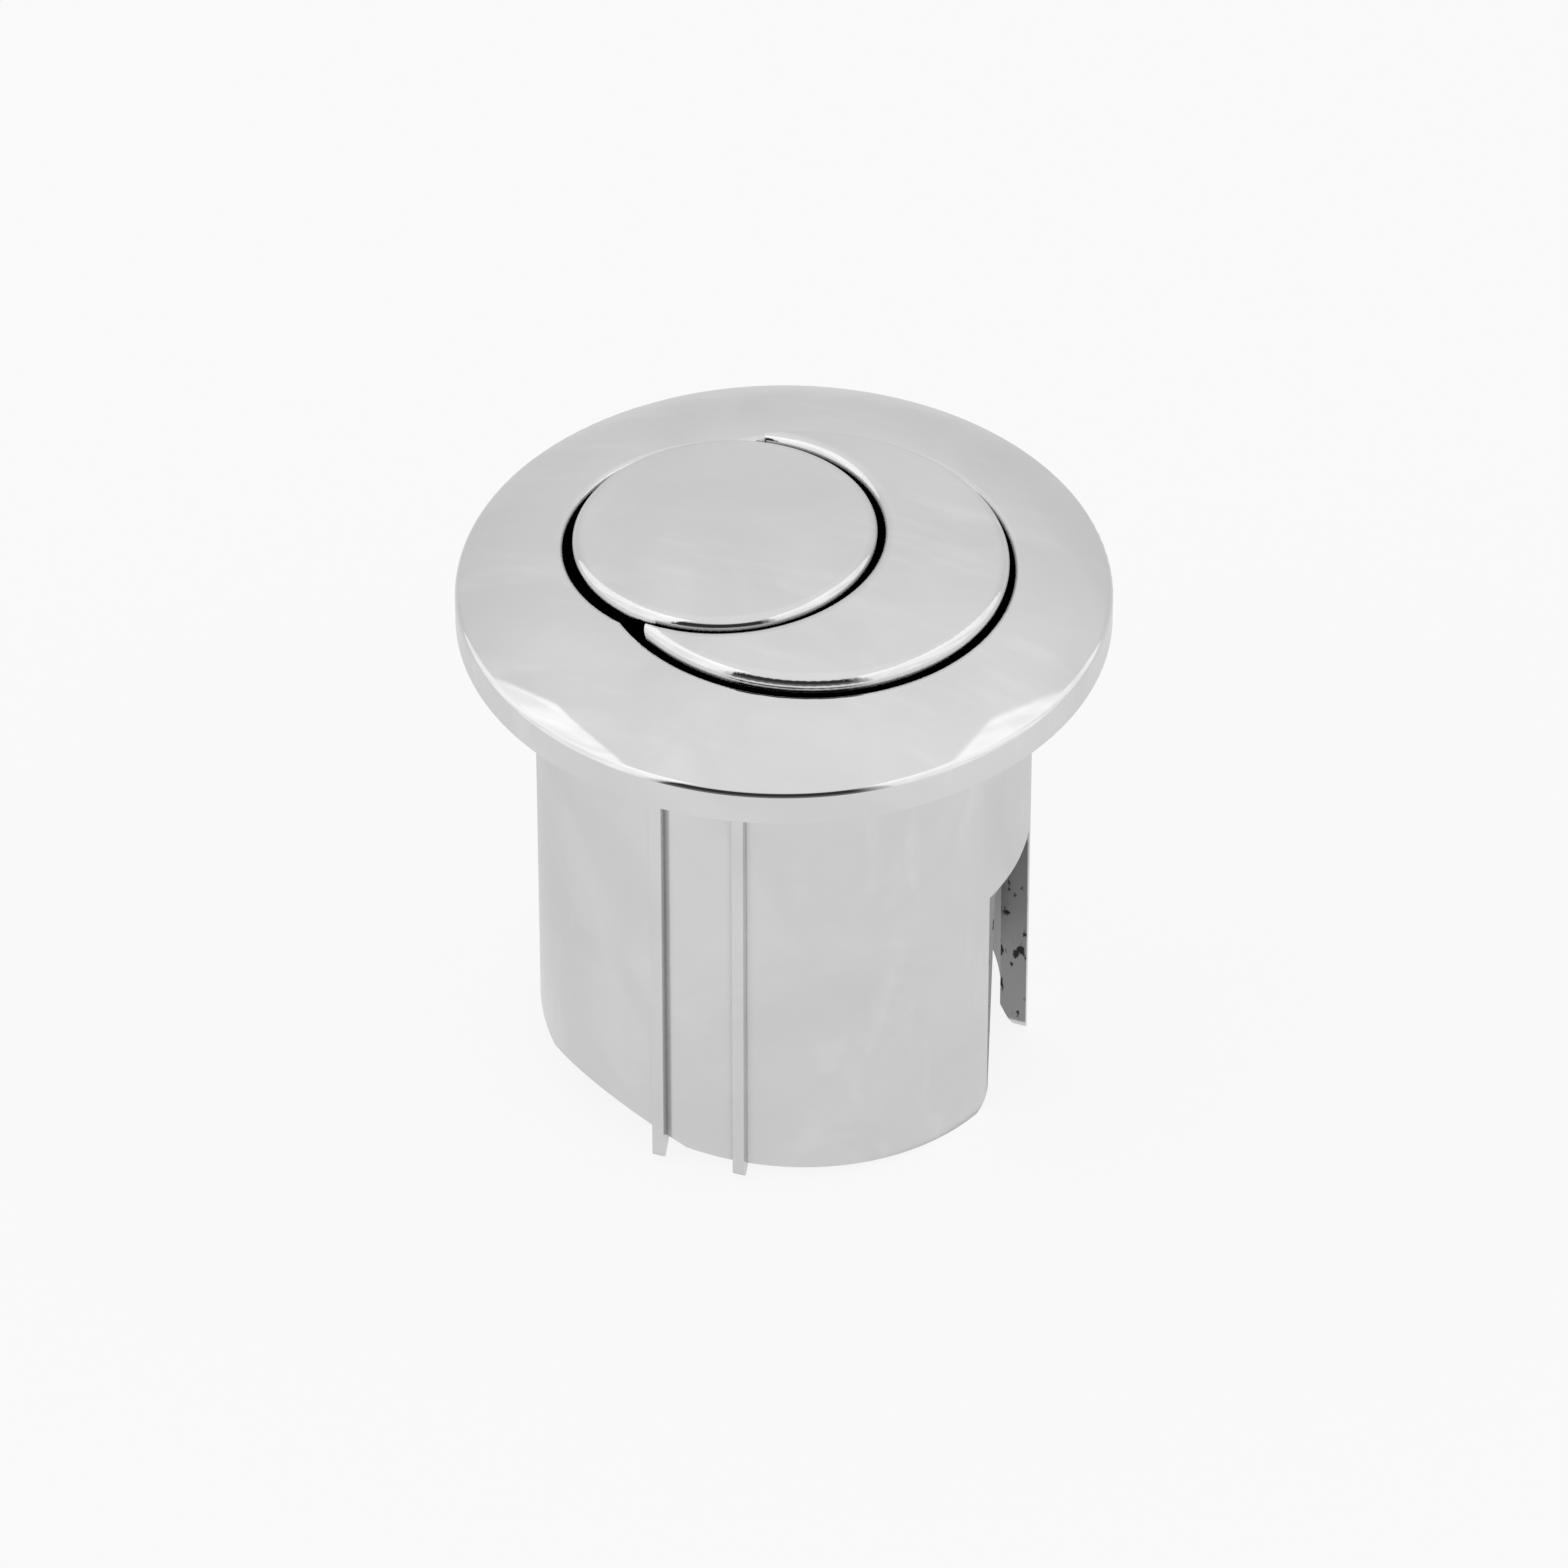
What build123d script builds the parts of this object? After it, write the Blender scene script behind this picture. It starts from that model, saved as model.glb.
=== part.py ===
from build123d import *
import math
import os

# Bezel, heights from the seat under the flange
FLANGE_LAP = 7.5
CROWN_Z = 6.8
DOME_DROP = 3.5
RIM_ROUND = 1.0
PLATE_THICK = 2.4
SEAT_LAND = 2.2
SEAT_DEPTH = 1.2
SEAT_NECK = 1.5
BODY_R = 24.0
BODY_WALL = 2.6
SKIRT_LOW = 51.0
SKIRT_RISE = 4.0
EDGE_LEAD = 1.7
EDGE_RISE = 2.9

# Scallops in the skirt's lower edge
SCALLOP_ANGLE = 120.0
SCALLOP_SPAN = 18.0
SCALLOP_LIFT = 1.6

# Slot in the skirt on the crescent's side, open at the bottom
SLOT_TOP = 24.4
SLOT_HALF_TOP = 4.6
SLOT_HALF_LOW = 5.4
SLOT_TOP_ROUND = 0.9
SLOT_FOOT_ROUND = 2.5

# Outer ribs, a pair on each side
RIB_PAIR_ANGLE = 88.8
RIB_OFFSET = 4.15
RIB_WIDTH = 1.15
RIB_HEIGHT = 1.0
RIB_SHORT = 0.5
RIB_ROOT = 1.0
RIB_TIP_ROUND = 0.6
RIB_TIP_SLOPE = 2.0

# Opening in the dome, the outline of a big and a small circle
WELL_WALL = 1.9
BIG_SHIFT = 2.42
SMALL_SHIFT = 6.3
SMALL_SHY = 0.6
WELL_SPARE = 2.0
LIP_ROUND = 0.6
CUSP_ROUND = 0.7

# Caps, each pressed down by the travel
TRAVEL = 7.0
HALF_INSET = 0.3
HALF_CLEAR = 0.5
FULL_CLEAR = 0.37
CAP_GAP = 0.42
CAP_TOP = 9.35
CAP_DOME = 150.0
CAP_LOW = 3.0
CAP_ROUND = 1.2
CAP_TIP_ROUND = 0.75
CAP_WALL = 1.4
CAP_PLATE = 3.0
SOCKET_LENGTH = 6.15
SOCKET_DEPTH = 5.0
SOCKET_WALL = 1.4
FIT = 0.02

# Carrier and the posts that it is screwed to
STOP_ROOM = 5.0
CARRIER_PLATE = 2.4
CARRIER_RIM_WALL = 1.5
CARRIER_RIM = 5.0
CARRIER_CLEAR = 0.1
SLEEVE_LENGTH = 9.6
SLEEVE_WALL = 1.6
SLIDE_CLEAR = 0.08
WEB_THICK = 1.4
WEB_HEIGHT = 4.0
POST_INSET = 1.6
POST_R = 1.5

# Carrier screws
SCREW_R = 0.8
SCREW_GRIP = 7.0
SCREW_HEAD_R = 1.45
SCREW_HEAD = 1.1
SCREW_HEAD_CHAMFER = 0.4
SCREW_CLEAR = 0.15
RECESS_WIDTH = 0.5
RECESS_DEPTH = 0.7

# Stems, clips, springs
HALF_STEM_R = 4.5
FULL_STEM_R = 3.2
FULL_STEM_FLAT = 2.6
HALF_SPIGOT_R = 2.2
FULL_SPIGOT_R = 1.6
STEM_TAIL = 8.1
STEM_CHAMFER = 0.5
CLIP_GAP = 0.1
CLIP_THICK = 0.8
HALF_GROOVE_R = 3.4
FULL_GROOVE_R = 2.3
CLIP_RING = 1.6
CLIP_BITE = 0.6
HALF_WIRE = 0.9
FULL_WIRE = 0.8
SPRING_CLEAR = 0.5
SPRING_END_GAP = 0.05
HALF_TURNS = 4.5
FULL_TURNS = 5.0

# Push rods and lock nuts
ROD_R = 2.0
ROD_GRIP = 7.0
ROD_OUT = 7.0
FOOT_R = 3.2
FOOT_HEIGHT = 2.0
FOOT_CHAMFER = 0.6
NUT_FLATS = 7.0
NUT_HEIGHT = 2.8

# Worked out from the above
FLANGE_R = BODY_R + FLANGE_LAP
BORE_R = BODY_R - BODY_WALL
REACH = BODY_R - WELL_WALL
BIG_R = REACH - BIG_SHIFT
SMALL_R = REACH - SMALL_SHIFT - SMALL_SHY
HALF_R = SMALL_R - HALF_CLEAR
FULL_R = BIG_R - FULL_CLEAR
NOTCH_R = HALF_R + CAP_GAP
HALF_X = HALF_INSET - SMALL_SHIFT
FULL_X = (HALF_X + NOTCH_R + BIG_SHIFT + FULL_R) / 2
CAP_UNDER = CAP_TOP - CAP_PLATE
CAP_SHOULDER = CAP_UNDER - SOCKET_LENGTH
WELL_LOW = CAP_LOW + TRAVEL + WELL_SPARE
CARRIER_TOP = CAP_LOW + TRAVEL + STOP_ROOM
PLATE_LOW = CARRIER_TOP + CARRIER_PLATE
SLEEVE_LOW = PLATE_LOW + SLEEVE_LENGTH
CLIP_HIGH = SLEEVE_LOW + CLIP_GAP
CLIP_LOW = CLIP_HIGH + CLIP_THICK
STEM_LOW = CLIP_LOW + STEM_TAIL
ROD_LOW = STEM_LOW + ROD_OUT
CUSP_X = (SMALL_R**2 - BIG_R**2 + BIG_SHIFT**2 - SMALL_SHIFT**2) / (2 * (BIG_SHIFT + SMALL_SHIFT))
CUSP_Y = math.sqrt(BIG_R**2 - (CUSP_X - BIG_SHIFT) ** 2)
CUSP_ANGLE = math.degrees(math.atan2(CUSP_Y, CUSP_X))
CROWN_R = math.hypot(CUSP_X, CUSP_Y)
MARGIN = 5.0


def disc(radius, low, high, x=0.0, y=0.0):
    """Upright cylinder between two heights."""
    base = (Align.CENTER, Align.CENTER, Align.MIN)
    return Pos(x, y, low) * Cylinder(radius, high - low, align=base)


def radial_plane(angle, height=0.0):
    """Upright plane through the axis: its x points outward at the angle, its y points up."""
    c, s = math.cos(math.radians(angle)), math.sin(math.radians(angle))
    return Plane(origin=(0, 0, height), x_dir=(c, s, 0), z_dir=(s, -c, 0))


def opening(low, high):
    """Prism with the outline of the hole in the dome."""
    outline = Pos(BIG_SHIFT, 0) * Circle(BIG_R) + Pos(-SMALL_SHIFT, 0) * Circle(SMALL_R)
    prism = Pos(0, 0, low) * extrude(outline, high - low)
    cusps = prism.edges().filter_by(Axis.Z).sort_by(Axis.X)[:2]
    return fillet(cusps, CUSP_ROUND)


def flange():
    """Solid disc with a domed top that falls to a rounded rim."""
    rim_z = CROWN_Z - DOME_DROP
    with BuildSketch(Plane.XZ) as section:
        with BuildLine():
            Polyline((CROWN_R, CROWN_Z), (0, CROWN_Z), (0, 0), (FLANGE_R, 0), (FLANGE_R, rim_z))
            TangentArc((CROWN_R, CROWN_Z), (FLANGE_R, rim_z), tangent=(1, 0))
        make_face()
        corners = section.vertices().group_by(Axis.X)[-1].sort_by(Axis.Y)
        fillet(corners[-1], RIM_ROUND)
    return revolve(section.sketch, Axis.Z)


def below_skirt():
    """All that lies under the skirt's slanted lower edge, which is lowest on the slot's side."""
    far = BODY_R + MARGIN
    slope = SKIRT_RISE / (2 * BODY_R)
    low = SKIRT_RISE / 2 - SKIRT_LOW
    outline = Polyline(
        (-far, low + slope * far),
        (far, low - slope * far),
        (far, -SKIRT_LOW - 2 * MARGIN),
        (-far, -SKIRT_LOW - 2 * MARGIN),
        close=True,
    )
    return extrude(Plane.XZ * make_face(outline), far, both=True)


def lead_in():
    """Cone, square to the slanted lower edge, that thins the skirt there from the inside."""
    tilt = math.degrees(math.atan(SKIRT_RISE / (2 * BODY_R)))
    taper = EDGE_LEAD / EDGE_RISE
    high, low = EDGE_RISE + MARGIN, -MARGIN
    narrow = BORE_R - taper * MARGIN
    wide = BORE_R + EDGE_LEAD + taper * MARGIN
    cone = Pos(0, 0, low) * Cone(wide, narrow, high - low, align=(Align.CENTER, Align.CENTER, Align.MIN))
    return Pos(0, 0, SKIRT_RISE / 2 - SKIRT_LOW) * Rot(0, tilt, 0) * cone


def scallop(angle):
    """Shallow arch cut up into the skirt's lower edge."""
    radius = (SCALLOP_SPAN**2 / 4 + SCALLOP_LIFT**2) / (2 * SCALLOP_LIFT)
    slope = SKIRT_RISE / (2 * BODY_R)
    edge = -SKIRT_LOW + slope * BODY_R * (1 - math.cos(math.radians(angle)))
    mid_wall = BODY_R - BODY_WALL / 2
    drum = Rot(0, 90, 0) * Cylinder(radius, BODY_WALL + 2 * MARGIN)
    return Rot(0, 0, angle) * Pos(mid_wall, 0, edge + SCALLOP_LIFT - radius) * drum


def slot():
    """Tapered slot with round top corners and a foot that flares into the lower edge."""
    low = -SKIRT_LOW
    half = SLOT_HALF_LOW + SLOT_FOOT_ROUND
    with BuildSketch(Plane.YZ) as section:
        with BuildLine():
            Polyline(
                (SLOT_HALF_LOW, low + SLOT_FOOT_ROUND),
                (SLOT_HALF_TOP, -SLOT_TOP),
                (-SLOT_HALF_TOP, -SLOT_TOP),
                (-SLOT_HALF_LOW, low + SLOT_FOOT_ROUND),
            )
            RadiusArc((-SLOT_HALF_LOW, low + SLOT_FOOT_ROUND), (-half, low), SLOT_FOOT_ROUND)
            Polyline((-half, low), (-half, low - MARGIN), (half, low - MARGIN), (half, low))
            RadiusArc((half, low), (SLOT_HALF_LOW, low + SLOT_FOOT_ROUND), SLOT_FOOT_ROUND)
        make_face()
        corners = section.vertices().group_by(Axis.Y)[-1]
        fillet(corners, SLOT_TOP_ROUND)
    return Pos(BORE_R - MARGIN, 0, 0) * extrude(section.sketch, BODY_WALL + 2 * MARGIN)


def rib(angle, offset):
    """Outer rib from the flange down past the skirt's edge, parallel to the other of its pair."""
    wall = math.sqrt(BODY_R**2 - offset**2)
    inner, outer = wall - RIB_ROOT, wall + RIB_HEIGHT
    tip = RIB_SHORT - SKIRT_LOW
    with BuildSketch(radial_plane(angle)) as section:
        with BuildLine():
            Polyline(
                (outer - RIB_TIP_ROUND, tip),
                (inner, tip + RIB_TIP_SLOPE),
                (inner, 0),
                (outer, 0),
                (outer, tip + RIB_TIP_ROUND),
            )
            RadiusArc((outer, tip + RIB_TIP_ROUND), (outer - RIB_TIP_ROUND, tip), RIB_TIP_ROUND)
        make_face()
    turn = math.radians(angle)
    aside = Pos(-offset * math.sin(turn), offset * math.cos(turn), 0)
    return aside * extrude(section.sketch, RIB_WIDTH / 2, both=True)


def post(side):
    """Screw post under the dome, backed by the skirt's wall."""
    top = CROWN_Z - PLATE_THICK
    reach = BORE_R - POST_INSET
    height = top + CARRIER_TOP
    web = Pos(reach, -POST_R, -CARRIER_TOP) * Box(
        POST_INSET + BODY_WALL / 2, 2 * POST_R, height, align=(Align.MIN, Align.MIN, Align.MIN)
    )
    pillar = disc(POST_R, -CARRIER_TOP, top, reach) + web
    pilot = disc(SCREW_R + FIT, -CARRIER_TOP, -CARRIER_TOP + SCREW_GRIP + FIT, reach)
    return Rot(0, 0, side * CUSP_ANGLE) * (pillar - pilot)


def bezel_body():
    """Flange, skirt, ribs and screw posts in one moulding."""
    top = flange() - opening(0, CROWN_Z + MARGIN)
    lip = [edge for edge in top.edges() if edge.center().Z > CROWN_Z - DOME_DROP / 2]
    top = fillet(lip, LIP_ROUND)
    body = top + disc(BODY_R, -SKIRT_LOW - MARGIN, 0)
    body -= opening(-WELL_LOW, CROWN_Z - PLATE_THICK)
    body -= disc(BORE_R, -SKIRT_LOW - 2 * MARGIN, CROWN_Z - PLATE_THICK)
    body -= disc(FLANGE_R - SEAT_LAND, 0, SEAT_DEPTH) - disc(BODY_R + SEAT_NECK, 0, SEAT_DEPTH)
    body -= below_skirt()
    body -= lead_in()
    body -= slot()
    for side in (-1, 1):
        body -= scallop(side * SCALLOP_ANGLE)
        body += post(side)
        for step in (-1, 1):
            body += rib(side * RIB_PAIR_ANGLE, step * RIB_OFFSET)
    return body


def crescent(outer, notch, low, high):
    """Upright crescent: a disc with a round bite on the half flush side."""
    return disc(outer, low, high, BIG_SHIFT) - disc(notch, low, high, HALF_X)


def domed(prism):
    """Trims a prism to the shallow dome that both caps share."""
    return prism & Pos(0, 0, CAP_TOP - CAP_DOME) * Rot(90, 0, 0) * Sphere(CAP_DOME)


def round_bite():
    """Domed block with the crescent's bite cut out and the bite's upper edge rounded."""
    block = domed(disc(FLANGE_R, -CAP_LOW, CAP_TOP + MARGIN))
    block -= disc(NOTCH_R, -CAP_LOW, CAP_TOP + MARGIN, HALF_X)
    return fillet(block.edges().sort_by(Axis.Z)[-1], CAP_ROUND)


def with_socket(shell, x, spigot):
    """Adds the tube under a cap that takes the stem's spigot."""
    shell += disc(spigot + FIT + SOCKET_WALL, CAP_SHOULDER, CAP_UNDER, x)
    return shell - disc(spigot + FIT, CAP_SHOULDER, CAP_SHOULDER + SOCKET_DEPTH + FIT, x)


def half_flush_cap():
    """Round domed cap: a shell with a rounded edge and a socket below."""
    shell = domed(disc(HALF_R, -CAP_LOW, CAP_TOP + MARGIN, HALF_X))
    shell = fillet(shell.edges().sort_by(Axis.Z)[-1], CAP_ROUND)
    shell -= disc(HALF_R - CAP_WALL, -CAP_LOW, CAP_UNDER, HALF_X)
    return with_socket(shell, HALF_X, HALF_SPIGOT_R)


def full_flush_cap():
    """Domed crescent cap with rounded tips, rounded edges and a socket below."""
    prism = crescent(FULL_R, NOTCH_R, -CAP_LOW, CAP_TOP)
    prism = fillet(prism.edges().filter_by(Axis.Z), CAP_TIP_ROUND)
    outer = domed(disc(FULL_R, -CAP_LOW, CAP_TOP + MARGIN, BIG_SHIFT))
    outer = fillet(outer.edges().sort_by(Axis.Z)[-1], CAP_ROUND)
    shell = prism & round_bite() & outer
    shell -= crescent(FULL_R - CAP_WALL, NOTCH_R + CAP_WALL, -CAP_LOW, CAP_UNDER)
    return with_socket(shell, FULL_X, FULL_SPIGOT_R)


def flatted(radius, flat, low, high, x):
    """Round bar with two flats that stop it turning."""
    base = (Align.CENTER, Align.CENTER, Align.MIN)
    slab = Pos(x, 0, low) * Box(2 * radius, 2 * flat, high - low, align=base)
    return disc(radius, low, high, x) & slab


def carrier():
    """Guide plate with a stiff rim, two sleeves for the stems and webs between them."""
    outer = BORE_R - CARRIER_CLEAR
    plate = disc(outer, -PLATE_LOW, -CARRIER_TOP)
    rim = disc(outer, -PLATE_LOW - CARRIER_RIM, -PLATE_LOW)
    rim -= disc(outer - CARRIER_RIM_WALL, -PLATE_LOW - CARRIER_RIM, -PLATE_LOW)
    half_bore = HALF_STEM_R + SLIDE_CLEAR
    full_bore = FULL_STEM_R + SLIDE_CLEAR
    frame = plate + rim
    frame += disc(half_bore + SLEEVE_WALL, -SLEEVE_LOW, -PLATE_LOW, HALF_X)
    frame += disc(full_bore + SLEEVE_WALL, -SLEEVE_LOW, -PLATE_LOW, FULL_X)
    web_low = -PLATE_LOW - WEB_HEIGHT
    span = 2 * (outer - CARRIER_RIM_WALL / 2)
    low_mid = (Align.CENTER, Align.CENTER, Align.MIN)
    frame += Pos(0, 0, web_low) * Box(span, WEB_THICK, WEB_HEIGHT, align=low_mid)
    for x in (HALF_X, FULL_X):
        reach = 2 * math.sqrt((outer - CARRIER_RIM_WALL / 2) ** 2 - x**2)
        frame += Pos(x, 0, web_low) * Box(WEB_THICK, reach, WEB_HEIGHT, align=low_mid)
    frame -= disc(half_bore, -SLEEVE_LOW, -CARRIER_TOP, HALF_X)
    flat_bore = FULL_STEM_FLAT + SLIDE_CLEAR
    frame -= flatted(full_bore, flat_bore, -SLEEVE_LOW, -CARRIER_TOP, FULL_X)
    for side in (-1, 1):
        hole = disc(SCREW_R + SCREW_CLEAR, -PLATE_LOW, -CARRIER_TOP, BORE_R - POST_INSET)
        head_r = SCREW_HEAD_R + SCREW_CLEAR
        head_room = disc(head_r, -PLATE_LOW - CARRIER_RIM, -PLATE_LOW, BORE_R - POST_INSET)
        frame -= Rot(0, 0, side * CUSP_ANGLE) * (hole + head_room)
    return frame


def carrier_screws():
    """Two pan head screws, driven from below."""
    head_low = -PLATE_LOW - SCREW_HEAD
    screw = disc(SCREW_HEAD_R, head_low, -PLATE_LOW)
    screw = chamfer(screw.edges().group_by(Axis.Z)[0], SCREW_HEAD_CHAMFER)
    screw += disc(SCREW_R, -PLATE_LOW, -CARRIER_TOP + SCREW_GRIP)
    for turn in (0, 90):
        bar = Box(2 * SCREW_R, RECESS_WIDTH, RECESS_DEPTH, align=(Align.CENTER, Align.CENTER, Align.MIN))
        screw -= Pos(0, 0, head_low) * Rot(0, 0, turn) * bar
    placed = Pos(BORE_R - POST_INSET, 0, 0) * screw
    return Compound([Rot(0, 0, side * CUSP_ANGLE) * placed for side in (-1, 1)])


def stem_details(stem, x, groove):
    """Cuts the clip groove and the rod's hole into a stem and breaks its lower edge."""
    low, high = -CLIP_LOW - FIT, -CLIP_HIGH + FIT
    ring = disc(HALF_STEM_R + MARGIN, low, high, x) - disc(groove, low, high, x)
    stem = chamfer(stem.edges().group_by(Axis.Z)[0], STEM_CHAMFER)
    stem -= ring
    return stem - disc(ROD_R + FIT, -STEM_LOW, -STEM_LOW + ROD_GRIP + FIT, x)


def half_flush_plunger():
    """Round stem with a spigot for the cap above and a hole for the rod below."""
    stem = disc(HALF_STEM_R, -STEM_LOW, CAP_SHOULDER, HALF_X)
    stem = stem_details(stem, HALF_X, HALF_GROOVE_R)
    return stem + disc(HALF_SPIGOT_R, CAP_SHOULDER, CAP_SHOULDER + SOCKET_DEPTH, HALF_X)


def full_flush_plunger():
    """Stem with two flats, so that the crescent can't turn."""
    stem = flatted(FULL_STEM_R, FULL_STEM_FLAT, -STEM_LOW, CAP_SHOULDER, FULL_X)
    stem = stem_details(stem, FULL_X, FULL_GROOVE_R)
    return stem + disc(FULL_SPIGOT_R, CAP_SHOULDER, CAP_SHOULDER + SOCKET_DEPTH, FULL_X)


def clip(x, groove, stem_r):
    """Open retaining ring in the stem's groove, just under the sleeve."""
    ring = disc(stem_r + CLIP_RING, -CLIP_LOW, -CLIP_HIGH, x) - disc(groove + FIT, -CLIP_LOW, -CLIP_HIGH, x)
    width = 2 * (groove - CLIP_BITE)
    mouth = Box(width, stem_r + MARGIN, CLIP_THICK, align=(Align.CENTER, Align.MIN, Align.MIN))
    return ring - Pos(x, 0, -CLIP_LOW) * mouth


def spring(x, stem_r, wire, turns):
    """Coil spring between the carrier's plate and the underside of a cap."""
    low = -CARRIER_TOP + wire / 2 + SPRING_END_GAP
    high = CAP_UNDER - wire / 2 - SPRING_END_GAP
    mean = stem_r + SPRING_CLEAR + wire / 2
    path = Pos(x, 0, low) * Helix((high - low) / turns, high - low, mean)
    section = Plane(path @ 0, z_dir=path % 0) * Rectangle(wire, wire)
    return sweep(section, path, is_frenet=True)


def push_rod(x):
    """Push rod with a wider foot at its lower end."""
    rod = disc(ROD_R, -ROD_LOW, -STEM_LOW + ROD_GRIP, x)
    foot = disc(FOOT_R, -ROD_LOW, -ROD_LOW + FOOT_HEIGHT, x)
    foot = chamfer(foot.edges().group_by(Axis.Z)[0], FOOT_CHAMFER)
    return rod + foot


def lock_nut(x):
    """Hexagon nut against the lower end of a stem."""
    nut = extrude(RegularPolygon(NUT_FLATS / 2, 6, major_radius=False), NUT_HEIGHT)
    return Pos(x, 0, -STEM_LOW - NUT_HEIGHT) * nut - disc(ROD_R + FIT, -STEM_LOW - NUT_HEIGHT, -STEM_LOW, x)


def main():
    nodes = {
        "bezel_body": bezel_body(),
        "carrier": carrier(),
        "carrier_screws": carrier_screws(),
        "half_flush_cap": half_flush_cap(),
        "full_flush_cap": full_flush_cap(),
        "half_flush_plunger": half_flush_plunger(),
        "full_flush_plunger": full_flush_plunger(),
        "half_flush_clip": clip(HALF_X, HALF_GROOVE_R, HALF_STEM_R),
        "full_flush_clip": clip(FULL_X, FULL_GROOVE_R, FULL_STEM_R),
        "half_flush_spring": spring(HALF_X, HALF_STEM_R, HALF_WIRE, HALF_TURNS),
        "full_flush_spring": spring(FULL_X, FULL_STEM_R, FULL_WIRE, FULL_TURNS),
        "half_flush_rod": push_rod(HALF_X),
        "full_flush_rod": push_rod(FULL_X),
        "half_flush_nut": lock_nut(HALF_X),
        "full_flush_nut": lock_nut(FULL_X),
    }
    os.makedirs("parts", exist_ok=True)
    for name, solid in nodes.items():
        export_step(solid, f"parts/{name}.step")


main()
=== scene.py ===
import math

import bpy
from mathutils import Matrix, Vector


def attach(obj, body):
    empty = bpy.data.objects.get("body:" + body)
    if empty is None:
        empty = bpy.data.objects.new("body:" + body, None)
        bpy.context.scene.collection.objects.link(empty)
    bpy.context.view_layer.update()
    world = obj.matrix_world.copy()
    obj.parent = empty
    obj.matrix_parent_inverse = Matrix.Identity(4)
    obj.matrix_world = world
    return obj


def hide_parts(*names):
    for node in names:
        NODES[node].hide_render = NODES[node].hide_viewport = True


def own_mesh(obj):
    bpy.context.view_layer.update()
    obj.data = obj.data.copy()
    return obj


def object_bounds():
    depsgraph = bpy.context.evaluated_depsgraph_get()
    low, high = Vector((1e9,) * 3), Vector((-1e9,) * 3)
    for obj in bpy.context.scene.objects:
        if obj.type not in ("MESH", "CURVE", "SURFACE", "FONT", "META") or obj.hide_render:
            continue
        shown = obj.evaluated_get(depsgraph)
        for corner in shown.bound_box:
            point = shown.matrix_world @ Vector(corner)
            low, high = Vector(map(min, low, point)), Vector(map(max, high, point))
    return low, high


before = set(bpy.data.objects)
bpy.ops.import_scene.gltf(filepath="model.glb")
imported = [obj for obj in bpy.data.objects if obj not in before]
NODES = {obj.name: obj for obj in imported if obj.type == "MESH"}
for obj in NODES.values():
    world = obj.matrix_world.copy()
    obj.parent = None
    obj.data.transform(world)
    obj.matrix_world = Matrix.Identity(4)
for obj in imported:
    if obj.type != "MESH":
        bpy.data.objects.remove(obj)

CAD_LOW, CAD_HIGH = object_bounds()
MM = 0.001

# Camera of the photograph
AZIMUTH = math.radians(21.0)
ELEVATION = math.radians(39.76)
DISTANCE = 1054.4 * MM
RISE = 16.42 * MM
LENS = 252.55
SENSOR = 36.0
SEES_FROM, SEES_TO = 0.05, 20.0
RIGHT = Vector((math.cos(AZIMUTH), math.sin(AZIMUTH), 0))
AWAY = Vector((-math.sin(AZIMUTH), math.cos(AZIMUTH), 0))
UPWARD = Vector((0, 0, 1))

# Floor, as it shows and as the chrome mirrors it
FLOOR_HALF = 3.0
FLOOR_COLOUR = (0.96, 0.96, 0.96, 1)
FLOOR_GLOW = 0.88
MIRROR_SHARE = 0.8
MIRROR_NEAR = (0.55, 0.93)
MIRROR_FAR = (0.86, 1.0)
MIRROR_SPREAD = (50 * MM, 115 * MM)
MIRROR_TURN = (-1.0, 0.3)

# Tent: its light in the room, and what the chrome mirrors from the horizon to overhead
ROOM_LIGHT = 0.5
HORIZON = 0.79
OVERHEAD = 75.0
# Its unlit open side: soft steps at its edges, in degrees from straight towards the camera
OPEN_LEFT = (-41.0, -38.0)
OPEN_RIGHT = (22.0, 36.0)
OPEN_LOW = (-6.0, 2.0)
OPEN_HIGH = (43.0, 53.0)
OPEN_LEVEL = (0.30, 0.045)
OPEN_DIM = 26.0
# Its lit walls: degrees from straight away, distance, left, right, low, high in metres, glow at both ends
WALLS = [
    ("wall_left", -110.0, 0.50, -0.29, 0.74, -0.03, 1.20, 0.50, 0.45),
    ("wall_right", 100.0, 0.60, -0.56, 0.67, -0.03, 1.27, 0.40, 0.36),
]
WALL_FADE = 0.06
CLOTH_FOLDS = 7.0
CLOTH_DEEP = 0.55
CLOTH_HANG = (1.0, 1.0, 0.35)
CLOTH_CREASE = (0.3, 0.65)

# Chrome: darker, duller grey inside the skirt, and painted shade in the gaps and corners between its parts
CHROME = (0.69, 0.69, 0.69)
INSIDE_GREY = (0.31, 0.31, 0.31, 1)
BURNT = (0.03, 0.03, 0.03, 1)
PAINTED_GAP_SHADE = (0.004, 0.004, 0.004, 1)
INSIDE_R = 21.7 * MM
SLOT_HALF = 5.45 * MM
SLOT_TOP = -24.4 * MM
INSIDE_SOFT = 0.2 * MM
SLOT_EDGE = 0.15 * MM
SLOT_DEEP = (INSIDE_R - 2 * MM, INSIDE_R - MM)
SLOT_TOP_EDGE = 0.1 * MM
SATIN_FROM, SATIN_TO = -0.5 * MM, -2.5 * MM
SKIRT_SATIN = 0.1
INSIDE_DULL = 0.25
GAP_SHADE_REACH = 1.6 * MM
GAP_SHADE_FULL = 0.2
GAP_SHADE_NONE = 0.5
GAP_SHADE_RAYS = 3

# Turned dome and rim: the centres of their arcs in section, and where their true normals hold
DOME_RING = 18.13 * MM
DOME_CENTRE = -20.487 * MM
RIM_RING = 30.5 * MM
RIM_CENTRE = 2.708 * MM
DOME_CLEAR = (24.4 * MM, 24.6 * MM)
DOME_LOW = (0.02 * MM, 0.1 * MM)
TURNED_FIT = (0.8, 0.85)

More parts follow.
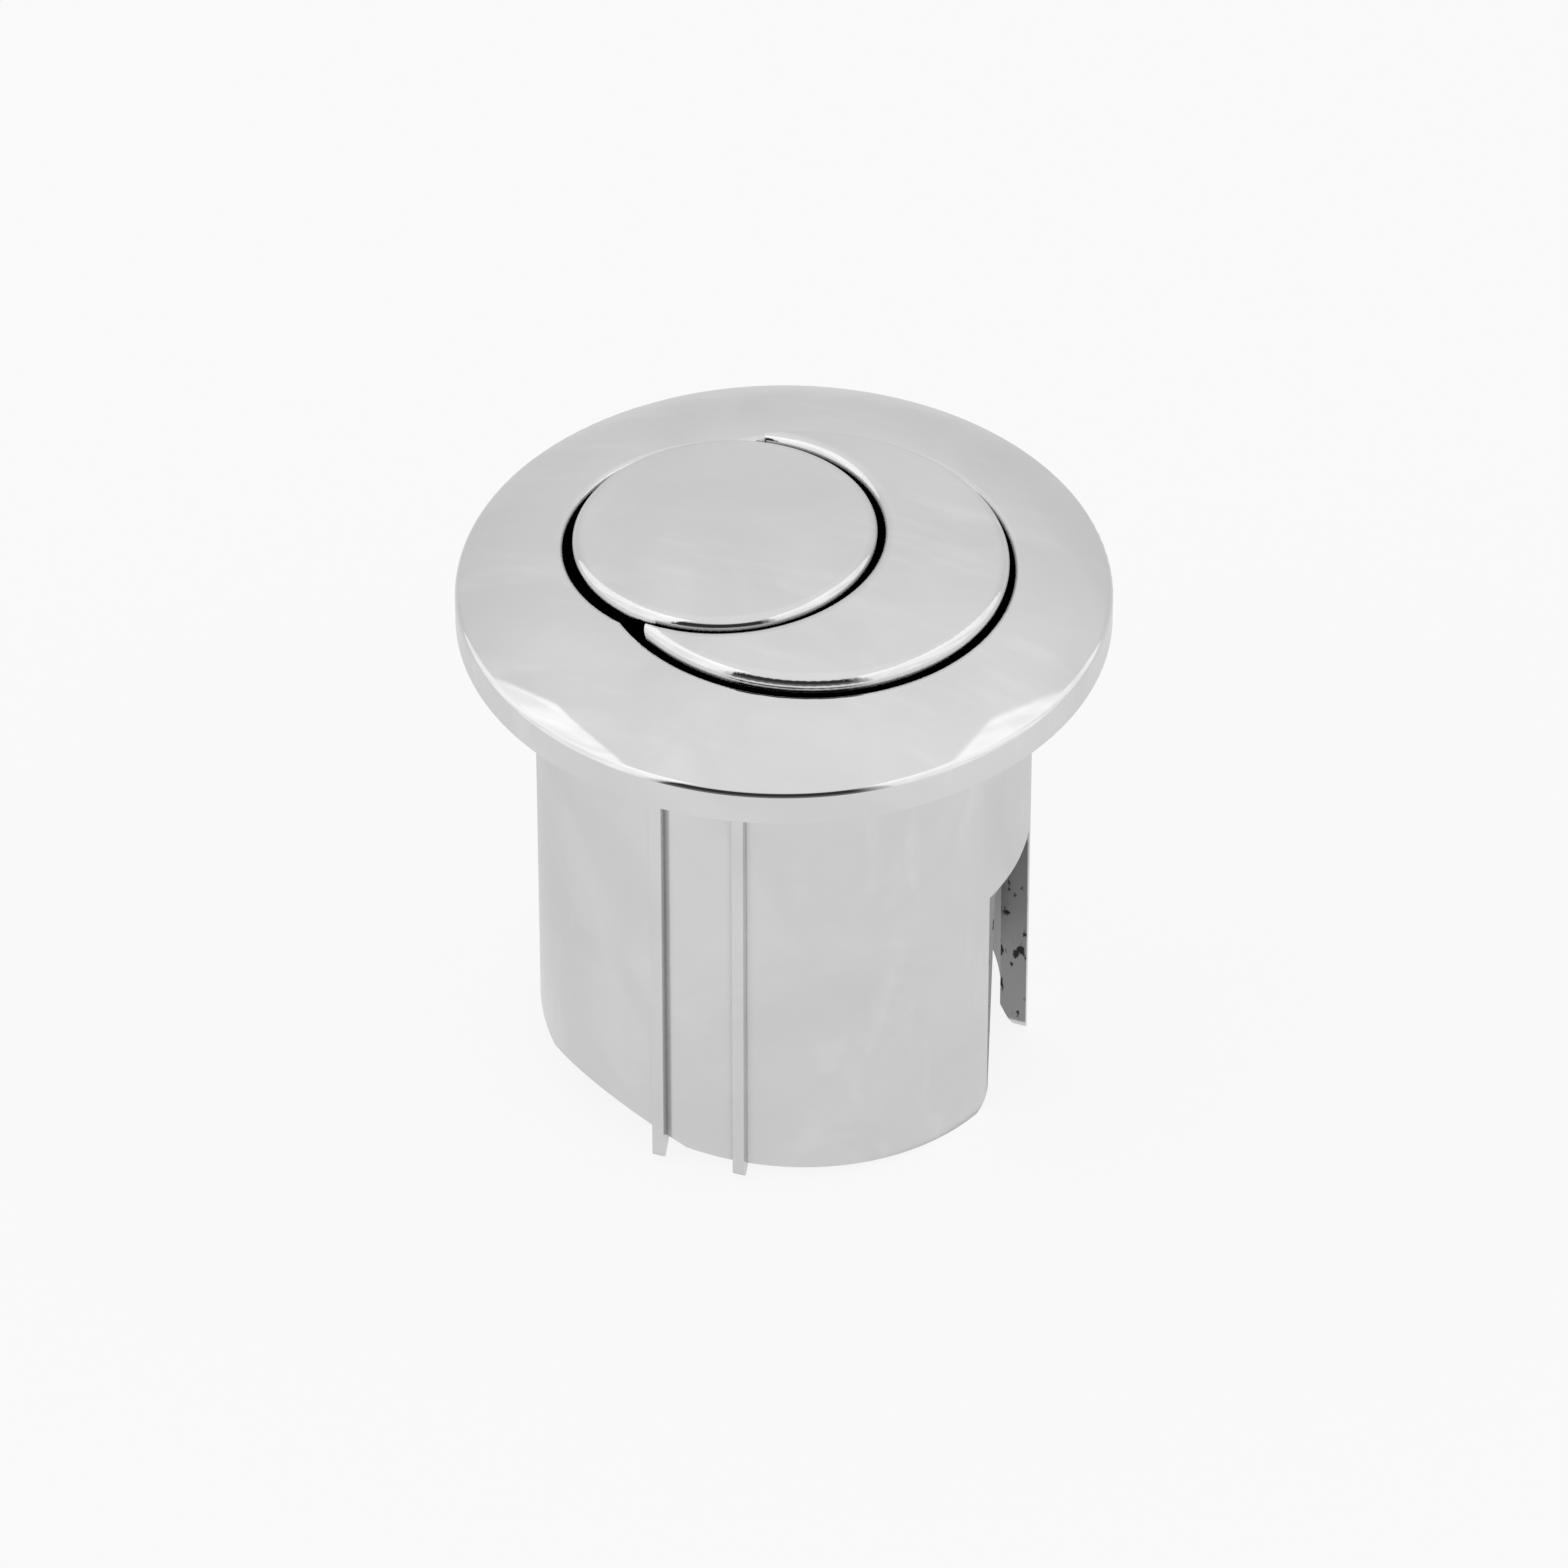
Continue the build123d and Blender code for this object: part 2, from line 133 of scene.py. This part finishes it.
# Marks on the chrome: wiping, smears, grain, sink waves and burnt specks
WIPE_TURN = (0, 0, 0.6)
WIPE_STRETCH = (0.22, 1.0, 0.3)
WIPE_SHOW = 0.12
WIPE_SCALE = 260.0
WIPE_EDGE = (0.52, 0.75)
SMEAR_SCALE = 60.0
SMEAR_EDGE = (0.3, 0.7)
SMEAR_DULL = (0.35, 0.75)
SMEAR_TINT = (0.955, 1.025)
SMEAR_POLISH = (0.8, 1.5)
GRAIN_SCALE = 2600.0
GRAIN_SHOW = 0.02
GRAIN_DEPTH = 0.02 * MM
SINK_SCALE = 150.0
SINK_DEPTH = 0.15 * MM
BURN_SCALE = 900.0
BURN_STRETCH = (1.0, 1.0, 0.45)
BURN_EDGE = (0.6, 0.68)

# Plastics and steel
BLACK = (0.02, 0.02, 0.021)
WHITE = (0.74, 0.74, 0.71)
GREY = (0.21, 0.215, 0.23)
CLIP_STEEL = (0.55, 0.55, 0.56)
WIRE_STEEL = (0.5, 0.5, 0.51)
FLOW_SCALE = 120.0
FLOW_EDGE = (0.2, 0.8)
FLOW_TINT = (0.9, 1.12)
FLOW_LIFT = 0.004
FLOW_GLOSS = (0.85, 1.15)
SPARK_SCALE = 3200.0
SPARK_DEPTH = 0.03 * MM
DRAWN_SCALE = (2600.0, 2600.0, 240.0)
DRAWN_EDGE = (0.25, 0.75)
DRAWN_TINT = (0.88, 1.08)
DRAWN_POLISH = (0.8, 1.25)
DRAWN_SHOW = 0.08
DRAWN_DEPTH = 0.01 * MM

# Pieces that the CAD draws plainer, in millimetres
HALF_X = -6.0
FULL_X = 15.425
HALF_COIL = {"mean": 5.45, "wire": 0.9, "turns": 6.2}
FULL_COIL = {"mean": 4.1, "wire": 0.8, "turns": 6.7}
CARRIER_TOP = -15.0
CAP_UNDER = 6.35
WIRE_SIDES = 14
TURN_STEPS = 40
END_TURNS = 0.85
TIP_SHARE = 0.3
TIP_STEPS = 3
SHARP_EDGE = math.radians(35)
ROD_LOW = -43.0
ROD_HIGH = -29.0
ROD_R = 2.0
FOOT_R = 3.2
FOOT_HEIGHT = 2.0
FOOT_CHAMFER = 0.6
FOOT_EASE = 0.2
TIP_R = 0.01
THREAD_LOW = -40.7
THREAD_HIGH = -35.5
THREAD_PITCH = 0.7
THREAD_DEPTH = 0.32
THREAD_STEPS = 12
THREAD_FLANK = 1.3
ROUND_STEPS = 48


def add_camera():
    """Camera at the photograph's angle and framing."""
    up = AWAY * math.sin(ELEVATION) + UPWARD * math.cos(ELEVATION)
    look = AWAY * math.cos(ELEVATION) - UPWARD * math.sin(ELEVATION)
    data = bpy.data.cameras.new("camera")
    data.lens = LENS
    data.sensor_width = SENSOR
    data.clip_start = SEES_FROM
    data.clip_end = SEES_TO
    camera = bpy.data.objects.new("camera", data)
    bpy.context.scene.collection.objects.link(camera)
    place = Matrix((RIGHT, up, -look)).transposed().to_4x4()
    place.translation = -look * DISTANCE - up * RISE
    camera.matrix_world = place
    bpy.context.scene.camera = camera


class Tree:
    """Short hand for making and linking shader nodes."""

    def __init__(self, tree):
        self.tree = tree
        self.tree.nodes.clear()

    def add(self, kind, inputs=None, **settings):
        node = self.tree.nodes.new(kind)
        for name, value in settings.items():
            setattr(node, name, value)
        for name, value in (inputs or {}).items():
            self.feed(node.inputs[name], value)
        return node

    def feed(self, socket, value):
        if isinstance(value, bpy.types.NodeSocket):
            self.tree.links.new(value, socket)
        else:
            socket.default_value = value

    def math(self, operation, a, b=0.0):
        node = self.tree.nodes.new("ShaderNodeMath")
        node.operation = operation
        self.feed(node.inputs[0], a)
        self.feed(node.inputs[1], b)
        return node.outputs[0]

    def ramp(self, value, low, high, out_low=0.0, out_high=1.0, smooth=True):
        node = self.tree.nodes.new("ShaderNodeMapRange")
        node.interpolation_type = "SMOOTHSTEP" if smooth else "LINEAR"
        parts = {"Value": value, "From Min": low, "From Max": high, "To Min": out_low, "To Max": out_high}
        for name, part in parts.items():
            self.feed(node.inputs[name], part)
        return node.outputs[0]

    def noise(self, vector, scale, detail, **settings):
        inputs = {"Vector": vector, "Scale": scale, "Detail": detail}
        inputs.update(settings)
        return self.add("ShaderNodeTexNoise", inputs).outputs["Fac"]

    def bump(self, height, strength, depth):
        inputs = {"Strength": strength, "Distance": depth, "Height": height}
        return self.add("ShaderNodeBump", inputs)

    def mix(self, factor, a, b):
        node = self.tree.nodes.new("ShaderNodeMix")
        node.data_type = "RGBA"
        self.feed(node.inputs[0], factor)
        self.feed(node.inputs[6], a)
        self.feed(node.inputs[7], b)
        return node.outputs[2]


def dot(t, vector, direction):
    """Dot product of a vector socket with a fixed direction."""
    node = t.tree.nodes.new("ShaderNodeVectorMath")
    node.operation = "DOT_PRODUCT"
    t.feed(node.inputs[0], vector)
    node.inputs[1].default_value = direction
    return node.outputs["Value"]


def shown_rays(t):
    """1 for camera, glossy and transmission rays."""
    path = t.add("ShaderNodeLightPath")
    seen = t.math("MAXIMUM", path.outputs["Is Camera Ray"], path.outputs["Is Glossy Ray"])
    return path, t.math("MAXIMUM", seen, path.outputs["Is Transmission Ray"])


def band(t, value, low, high):
    """1 between two edges, each given as the start and end of a soft step in degrees."""
    rise = t.ramp(value, math.radians(low[0]), math.radians(low[1]))
    fall = t.ramp(value, math.radians(high[0]), math.radians(high[1]), 1.0, 0.0)
    return t.math("MULTIPLY", rise, fall)


def open_side(t, vector):
    """Share of the tent's dark opening in directions towards the camera's side."""
    side = t.math("ARCTAN2", dot(t, vector, RIGHT), dot(t, vector, -AWAY))
    return band(t, side, OPEN_LEFT, OPEN_RIGHT)


def add_world():
    """White tent that is a little brighter overhead, with an unlit opening that the chrome mirrors."""
    world = bpy.data.worlds.new("studio")
    bpy.context.scene.world = world
    world.use_nodes = True
    t = Tree(world.node_tree)
    direction = t.add("ShaderNodeTexCoord").outputs["Generated"]
    path, shown = shown_rays(t)
    height = t.math("ARCSINE", dot(t, direction, (0, 0, 1)))
    dark = t.math("MULTIPLY", open_side(t, direction), band(t, height, OPEN_LOW, OPEN_HIGH))
    dark = t.math("MULTIPLY", dark, path.outputs["Is Glossy Ray"])
    dim = t.ramp(height, 0.0, math.radians(OPEN_DIM), *OPEN_LEVEL)
    dark = t.math("MULTIPLY", dark, t.math("SUBTRACT", 1.0, dim))
    cloth = t.ramp(height, 0.0, math.radians(OVERHEAD), HORIZON, 1.0)
    cloth = t.math("MAXIMUM", cloth, path.outputs["Is Camera Ray"])
    white = t.math("MULTIPLY", cloth, t.math("SUBTRACT", 1.0, dark))
    level = t.add("ShaderNodeMix", {0: shown, 2: ROOM_LIGHT, 3: white})
    background = t.add("ShaderNodeBackground", {"Color": (1, 1, 1, 1), "Strength": level.outputs[0]})
    out = t.add("ShaderNodeOutputWorld")
    t.feed(out.inputs["Surface"], background.outputs[0])


def add_floor():
    """Pale floor that keeps a soft shadow. Mirrored, it is a little darker close to the object."""
    mesh = bpy.data.meshes.new("floor")
    corners = [(-1, -1), (1, -1), (1, 1), (-1, 1)]
    mesh.from_pydata([(x * FLOOR_HALF, y * FLOOR_HALF, CAD_LOW.z) for x, y in corners], [], [(0, 1, 2, 3)])
    floor = bpy.data.objects.new("floor", mesh)
    bpy.context.scene.collection.objects.link(floor)
    material = bpy.data.materials.new("floor")
    material.use_nodes = True
    t = Tree(material.node_tree)
    place = t.add("ShaderNodeNewGeometry")
    path, shown = shown_rays(t)
    spot = place.outputs["Position"]
    reach = t.add("ShaderNodeVectorMath", {0: spot}, operation="LENGTH").outputs["Value"]
    facing = t.math("DIVIDE", dot(t, spot, -AWAY), reach)
    near = t.ramp(facing, *MIRROR_TURN, *MIRROR_NEAR)
    far = t.ramp(facing, *MIRROR_TURN, *MIRROR_FAR)
    mirrored = t.ramp(reach, *MIRROR_SPREAD, near, far)
    matt = t.add("ShaderNodeBsdfDiffuse", {"Color": FLOOR_COLOUR})
    glossy = path.outputs["Is Glossy Ray"]
    strength = t.add("ShaderNodeMix", {0: glossy, 2: 1.0, 3: mirrored}).outputs[0]
    light = t.add("ShaderNodeEmission", {"Color": (1, 1, 1, 1), "Strength": strength})
    share = t.math("MULTIPLY", shown, t.ramp(glossy, 0.0, 1.0, FLOOR_GLOW, MIRROR_SHARE, smooth=False))
    lit = t.add("ShaderNodeMixShader", {0: share})
    t.feed(lit.inputs[1], matt.outputs[0])
    t.feed(lit.inputs[2], light.outputs[0])
    clear = t.add("ShaderNodeBsdfTransparent")
    both = t.add("ShaderNodeMixShader", {0: place.outputs["Backfacing"]})
    t.feed(both.inputs[1], lit.outputs[0])
    t.feed(both.inputs[2], clear.outputs[0])
    out = t.add("ShaderNodeOutputMaterial")
    t.feed(out.inputs["Surface"], both.outputs[0])
    mesh.materials.append(material)


def glow_across(data, middle, along, upright, half_width, half_height, left, right):
    """Lets a lamp's glow change from its left end to its right end and fade at its edges."""
    data.use_nodes = True
    t = Tree(data.node_tree)
    place = t.add("ShaderNodeNewGeometry").outputs["Position"]
    offset = t.add("ShaderNodeVectorMath", {0: place, 1: middle}, operation="SUBTRACT").outputs["Vector"]
    across = dot(t, offset, along)
    glow = t.ramp(across, -half_width, half_width, left, right, smooth=False)
    hung = t.add("ShaderNodeMapping", {"Vector": offset, "Scale": CLOTH_HANG}).outputs["Vector"]
    folds = t.noise(hung, CLOTH_FOLDS, detail=2.0, Distortion=0.6)
    glow = t.math("MULTIPLY", glow, t.ramp(folds, *CLOTH_CREASE, CLOTH_DEEP, 1.0))
    for value, half in ((across, half_width), (dot(t, offset, upright), half_height)):
        edge = t.math("SUBTRACT", half, t.math("ABSOLUTE", value))
        glow = t.math("MULTIPLY", glow, t.ramp(edge, 0.0, WALL_FADE))
    out = t.add("ShaderNodeOutputLight")
    t.feed(out.inputs["Surface"], t.add("ShaderNodeEmission", {"Strength": glow}).outputs[0])


def add_lamp(name, width, height, place):
    """Rectangular lamp whose shader gives its glow as it is."""
    data = bpy.data.lights.new(name, "AREA")
    data.shape = "RECTANGLE"
    data.size = width
    data.size_y = height
    data.energy = math.pi * width * height
    lamp = bpy.data.objects.new(name, data)
    bpy.context.scene.collection.objects.link(lamp)
    lamp.matrix_world = place
    return data


def add_walls():
    """Upright lit walls of the tent, to the left and right of the object."""
    for name, azimuth, distance, left, right, low, high, start, end in WALLS:
        a = math.radians(azimuth)
        out = RIGHT * math.sin(a) + AWAY * math.cos(a)
        along = RIGHT * math.cos(a) - AWAY * math.sin(a)
        middle = out * distance + along * (left + right) / 2 + UPWARD * (low + high) / 2
        place = Matrix((-along, UPWARD, out)).transposed().to_4x4()
        place.translation = middle
        data = add_lamp(name, right - left, high - low, place)
        glow_across(data, middle, along, UPWARD, (right - left) / 2, (high - low) / 2, start, end)


def principled(name):
    """New material with one Principled shader."""
    material = bpy.data.materials.new(name)
    material.use_nodes = True
    t = Tree(material.node_tree)
    shader = t.add("ShaderNodeBsdfPrincipled")
    out = t.add("ShaderNodeOutputMaterial")
    t.feed(out.inputs["Surface"], shader.outputs["BSDF"])
    return material, t, shader


def shade(colour, share, lift=0.0):
    """Colour made darker or paler, with its alpha."""
    return tuple(min(1.0, c * share + lift) for c in colour) + (1,)


def chrome(name, tint, polish, wave, bezel):
    """Chrome plate on moulded plastic: faint sink waves, wiping marks, and painted shade deep in the gaps and
    corners between parts.
    """
    material, t, shader = principled(name)
    place = t.add("ShaderNodeTexCoord").outputs["Object"]
    shader.inputs["Metallic"].default_value = 1.0
    smear = t.noise(place, SMEAR_SCALE, detail=4.0, Roughness=0.55, Distortion=0.8)
    deep, pale = (shade(tint, share) for share in SMEAR_TINT)
    colour = t.mix(t.ramp(smear, *SMEAR_EDGE), deep, pale)
    wiped = t.add("ShaderNodeMapping", {"Vector": place, "Rotation": WIPE_TURN, "Scale": WIPE_STRETCH})
    wipes = t.noise(wiped.outputs["Vector"], WIPE_SCALE, detail=3.0, Roughness=0.6)
    colour = t.mix(t.ramp(wipes, *WIPE_EDGE, 0.0, WIPE_SHOW), colour, (1, 1, 1, 1))
    rough = t.ramp(smear, *SMEAR_DULL, *(polish * share for share in SMEAR_POLISH))
    if bezel:
        colour, rough = dull_inside(t, place, colour, rough)
    # Painted shade: the colour goes nearly black where ambient occlusion finds nearby surfaces, in the gaps
    # and corners between parts.
    joint = t.add("ShaderNodeAmbientOcclusion", {"Distance": GAP_SHADE_REACH}, samples=GAP_SHADE_RAYS)
    unshaded = t.ramp(joint.outputs["AO"], GAP_SHADE_FULL, GAP_SHADE_NONE)
    t.feed(shader.inputs["Base Color"], t.mix(unshaded, PAINTED_GAP_SHADE, colour))
    t.feed(shader.inputs["Roughness"], rough)
    fine = t.bump(t.noise(place, GRAIN_SCALE, detail=2.0), GRAIN_SHOW, GRAIN_DEPTH)
    if bezel:
        t.feed(fine.inputs["Normal"], turned_normal(t, place))
    wavy = t.bump(t.noise(place, SINK_SCALE, detail=1.5, Roughness=0.4), wave, SINK_DEPTH)
    t.feed(wavy.inputs["Normal"], fine.outputs["Normal"])
    t.feed(shader.inputs["Normal"], wavy.outputs["Normal"])
    return material


def around(t, at):
    """Distance of a point from the upright axis."""
    return t.math("SQRT", t.math("ADD", t.math("POWER", at["X"], 2.0), t.math("POWER", at["Y"], 2.0)))


def turned_normal(t, place):
    """True normal of the turned dome and rim, and the drawn normal elsewhere."""
    at = t.add("ShaderNodeSeparateXYZ", {0: place}).outputs
    radius = around(t, at)
    lean = 0.5 * math.pi
    for ring, height in ((DOME_RING, DOME_CENTRE), (RIM_RING, RIM_CENTRE)):
        slope = t.math("ARCTAN2", t.math("SUBTRACT", at["Z"], height), t.math("SUBTRACT", radius, ring))
        lean = t.math("MINIMUM", lean, slope)
    lean = t.math("MAXIMUM", lean, 0.0)
    out = t.math("DIVIDE", t.math("COSINE", lean), radius)
    sides = {name: t.math("MULTIPLY", at[name], out) for name in ("X", "Y")}
    sides["Z"] = t.math("SINE", lean)
    turned = t.add("ShaderNodeCombineXYZ", sides).outputs["Vector"]
    drawn = t.add("ShaderNodeNewGeometry").outputs["Normal"]
    agree = t.add("ShaderNodeVectorMath", {0: turned, 1: drawn}, operation="DOT_PRODUCT").outputs["Value"]
    use = t.math("MULTIPLY", t.ramp(agree, *TURNED_FIT), t.ramp(radius, *DOME_CLEAR))
    use = t.math("MULTIPLY", use, t.ramp(at["Z"], *DOME_LOW))
    both = t.add("ShaderNodeMix", {0: use, 4: drawn, 5: turned}, data_type="VECTOR")
    return both.outputs[1]


def dull_inside(t, place, colour, rough):
    """Darker, duller grey inside the skirt and on the slot's sides, with burnt specks on the slot's sides,
    and a satin outside.
    """
    at = t.add("ShaderNodeSeparateXYZ", {0: place}).outputs
    below = t.ramp(at["Z"], SATIN_TO, SATIN_FROM, 1.0, 0.0)
    radius = around(t, at)
    inside = t.ramp(radius, INSIDE_R - INSIDE_SOFT, INSIDE_R + INSIDE_SOFT, 1.0, 0.0)
    across = t.math("ABSOLUTE", at["Y"])
    slot = t.ramp(across, SLOT_HALF, SLOT_HALF + SLOT_EDGE, 1.0, 0.0)
    slot = t.math("MULTIPLY", slot, t.ramp(at["X"], *SLOT_DEEP))
    under = t.ramp(at["Z"], SLOT_TOP - SLOT_TOP_EDGE, SLOT_TOP + SLOT_TOP_EDGE, 1.0, 0.0)
    slot = t.math("MULTIPLY", slot, under)
    inside_mask = t.math("MULTIPLY", t.math("MAXIMUM", inside, slot), below)
    tall = t.add("ShaderNodeMapping", {"Vector": place, "Scale": BURN_STRETCH}).outputs["Vector"]
    burns = t.noise(tall, BURN_SCALE, detail=3.0, Roughness=0.6)
    specks = t.math("MULTIPLY", slot, t.ramp(burns, *BURN_EDGE))
    inside_colour = t.mix(specks, INSIDE_GREY, BURNT)
    colour = t.mix(inside_mask, colour, inside_colour)
    satin = t.math("ADD", rough, t.math("MULTIPLY", below, SKIRT_SATIN))
    return colour, t.math("ADD", satin, t.math("MULTIPLY", inside_mask, INSIDE_DULL))


def moulded(name, colour, gloss, speckle):
    """Moulded plastic with a fine spark-eroded grain and faint flow marks."""
    material, t, shader = principled(name)
    place = t.add("ShaderNodeTexCoord").outputs["Object"]
    flow = t.noise(place, FLOW_SCALE, detail=3.0, Distortion=1.2)
    deep = shade(colour, FLOW_TINT[0])
    pale = shade(colour, FLOW_TINT[1], FLOW_LIFT)
    t.feed(shader.inputs["Base Color"], t.mix(flow, deep, pale))
    t.feed(shader.inputs["Roughness"], t.ramp(flow, *FLOW_EDGE, *(gloss * share for share in FLOW_GLOSS)))
    bump = t.bump(t.noise(place, SPARK_SCALE, detail=2.0), speckle, SPARK_DEPTH)
    t.feed(shader.inputs["Normal"], bump.outputs["Normal"])
    return material


def steel(name, colour, rough):
    """Drawn stainless steel with fine marks along the drawing direction."""
    material, t, shader = principled(name)
    place = t.add("ShaderNodeTexCoord").outputs["Object"]
    shader.inputs["Metallic"].default_value = 1.0
    drawn = t.add("ShaderNodeMapping", {"Vector": place, "Scale": DRAWN_SCALE})
    lines = t.noise(drawn.outputs["Vector"], 1.0, detail=3.0)
    deep, pale = (shade(colour, share) for share in DRAWN_TINT)
    t.feed(shader.inputs["Base Color"], t.mix(lines, deep, pale))
    t.feed(shader.inputs["Roughness"], t.ramp(lines, *DRAWN_EDGE, *(rough * share for share in DRAWN_POLISH)))
    t.feed(shader.inputs["Normal"], t.bump(lines, DRAWN_SHOW, DRAWN_DEPTH).outputs["Normal"])
    return material


def dress(material, *names):
    """Gives CAD nodes a material."""
    for name in names:
        mesh = NODES[name].data
        mesh.materials.clear()
        mesh.materials.append(material)


def new_piece(name, points, faces, body, material, slot, *stands_for):
    """Smooth mesh that rides on a body and stands for CAD nodes. Points are in millimetres."""
    mesh = bpy.data.meshes.new(name)
    mesh.from_pydata([tuple(c * MM for c in p) for p in points], [], faces)
    mesh.update()
    mesh.shade_smooth()
    mesh.set_sharp_from_angle(angle=SHARP_EDGE)
    mesh.materials.append(material)
    piece = bpy.data.objects.new(name, mesh)
    bpy.context.scene.collection.objects.link(piece)
    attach(piece, body)
    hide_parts(*stands_for)
    return piece


def grid_faces(rows, columns):
    """Quads of a grid whose columns run round."""
    faces = []
    for i in range(rows - 1):
        for j in range(columns):
            k = (j + 1) % columns
            faces.append((i * columns + j, i * columns + k, (i + 1) * columns + k, (i + 1) * columns + j))
    return faces


def coil_height(turn, turns, low, high, wire):
    """Height of the wire's centre, with closed coils at both ends."""
    seat = wire * END_TURNS
    if turn < END_TURNS:
        return low + wire * turn
    if turn > turns - END_TURNS:
        return high - wire * (turns - turn)
    share = (turn - END_TURNS) / (turns - 2 * END_TURNS)
    return low + seat + share * (high - low - 2 * seat)


def add_spring(name, x, material, joint, mean, wire, turns):
    """Round-wire compression spring with closed ends."""
    low, high = CARRIER_TOP + wire / 2, CAP_UNDER - wire / 2
    steps = round(turns * TURN_STEPS)
    points = []
    for i in range(steps + 1):
        turn = turns * i / steps
        angle = 2 * math.pi * turn
        height = coil_height(turn, turns, low, high, wire)
        end = min(1.0, TIP_SHARE + (1 - TIP_SHARE) * min(i, steps - i) / TIP_STEPS)
        for j in range(WIRE_SIDES):
            side = 2 * math.pi * j / WIRE_SIDES
            radius = mean + wire / 2 * end * math.cos(side)
            up = height + wire / 2 * end * math.sin(side)
            points.append((x + radius * math.cos(angle), radius * math.sin(angle), up))
    faces = grid_faces(steps + 1, WIRE_SIDES)
    faces.append(tuple(range(WIRE_SIDES)))
    faces.append(tuple(reversed(range(steps * WIRE_SIDES, (steps + 1) * WIRE_SIDES))))
    piece = new_piece(name + "_coil", points, faces, "bezel", material, "spring_steel", name)
    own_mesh(piece)


def thread_radius(height, angle):
    """Radius of the threaded rod, a V thread that runs out at both ends."""
    if not THREAD_LOW < height < THREAD_HIGH:
        return ROD_R
    phase = (height / THREAD_PITCH - angle / (2 * math.pi)) % 1.0
    groove = min(1.0, THREAD_FLANK * (1 - abs(2 * phase - 1)))
    fade = min(1.0, (height - THREAD_LOW) / THREAD_PITCH, (THREAD_HIGH - height) / THREAD_PITCH)
    return ROD_R - THREAD_DEPTH * groove * fade


def add_rod(name, x, body, material):
    """Push rod with a thread under its nut and a wider foot."""
    foot_top = ROD_LOW + FOOT_HEIGHT
    levels = [
        (ROD_LOW, TIP_R),
        (ROD_LOW, FOOT_R - FOOT_CHAMFER),
        (ROD_LOW + FOOT_CHAMFER, FOOT_R),
        (foot_top - FOOT_EASE, FOOT_R),
        (foot_top, FOOT_R - FOOT_EASE),
        (foot_top, ROD_R),
    ]
    steps = round((THREAD_HIGH - THREAD_LOW) / THREAD_PITCH * THREAD_STEPS)
    levels += [(THREAD_LOW + (THREAD_HIGH - THREAD_LOW) * i / steps, None) for i in range(steps + 1)]
    levels += [(ROD_HIGH, ROD_R), (ROD_HIGH, TIP_R)]
    points = []
    for height, radius in levels:
        for j in range(ROUND_STEPS):
            angle = 2 * math.pi * j / ROUND_STEPS
            r = thread_radius(height, angle) if radius is None else radius
            points.append((x + r * math.cos(angle), r * math.sin(angle), height))
    faces = grid_faces(len(levels), ROUND_STEPS)
    faces.append(tuple(reversed(range(ROUND_STEPS))))
    last = (len(levels) - 1) * ROUND_STEPS
    faces.append(tuple(range(last, last + ROUND_STEPS)))
    new_piece(name + "_threaded", points, faces, body, material, "rod_plastic", name)


add_camera()
add_world()
add_floor()
add_walls()
bpy.context.scene.view_settings.view_transform = "Standard"

bezel = chrome("chrome_bezel", CHROME, polish=0.05, wave=0.10, bezel=True)
caps = chrome("chrome_cap", CHROME, polish=0.045, wave=0.06, bezel=False)
black = moulded("black_plastic", BLACK, gloss=0.5, speckle=0.25)
white = moulded("white_acetal", WHITE, gloss=0.32, speckle=0.1)
grey = moulded("grey_acetal", GREY, gloss=0.3, speckle=0.1)
clips = steel("clip_steel", CLIP_STEEL, rough=0.28)
spring = steel("spring_steel", WIRE_STEEL, rough=0.25)
dress(bezel, "bezel_body")
dress(caps, "half_flush_cap", "full_flush_cap")
dress(black, "carrier")
dress(white, "half_flush_plunger", "full_flush_plunger")
dress(grey, "half_flush_nut", "full_flush_nut")
dress(clips, "carrier_screws", "half_flush_clip", "full_flush_clip")
add_spring("half_flush_spring", HALF_X, spring, "half_flush_press", **HALF_COIL)
add_spring("full_flush_spring", FULL_X, spring, "full_flush_press", **FULL_COIL)
add_rod("half_flush_rod", HALF_X, "half_flush", grey)
add_rod("full_flush_rod", FULL_X, "full_flush", grey)
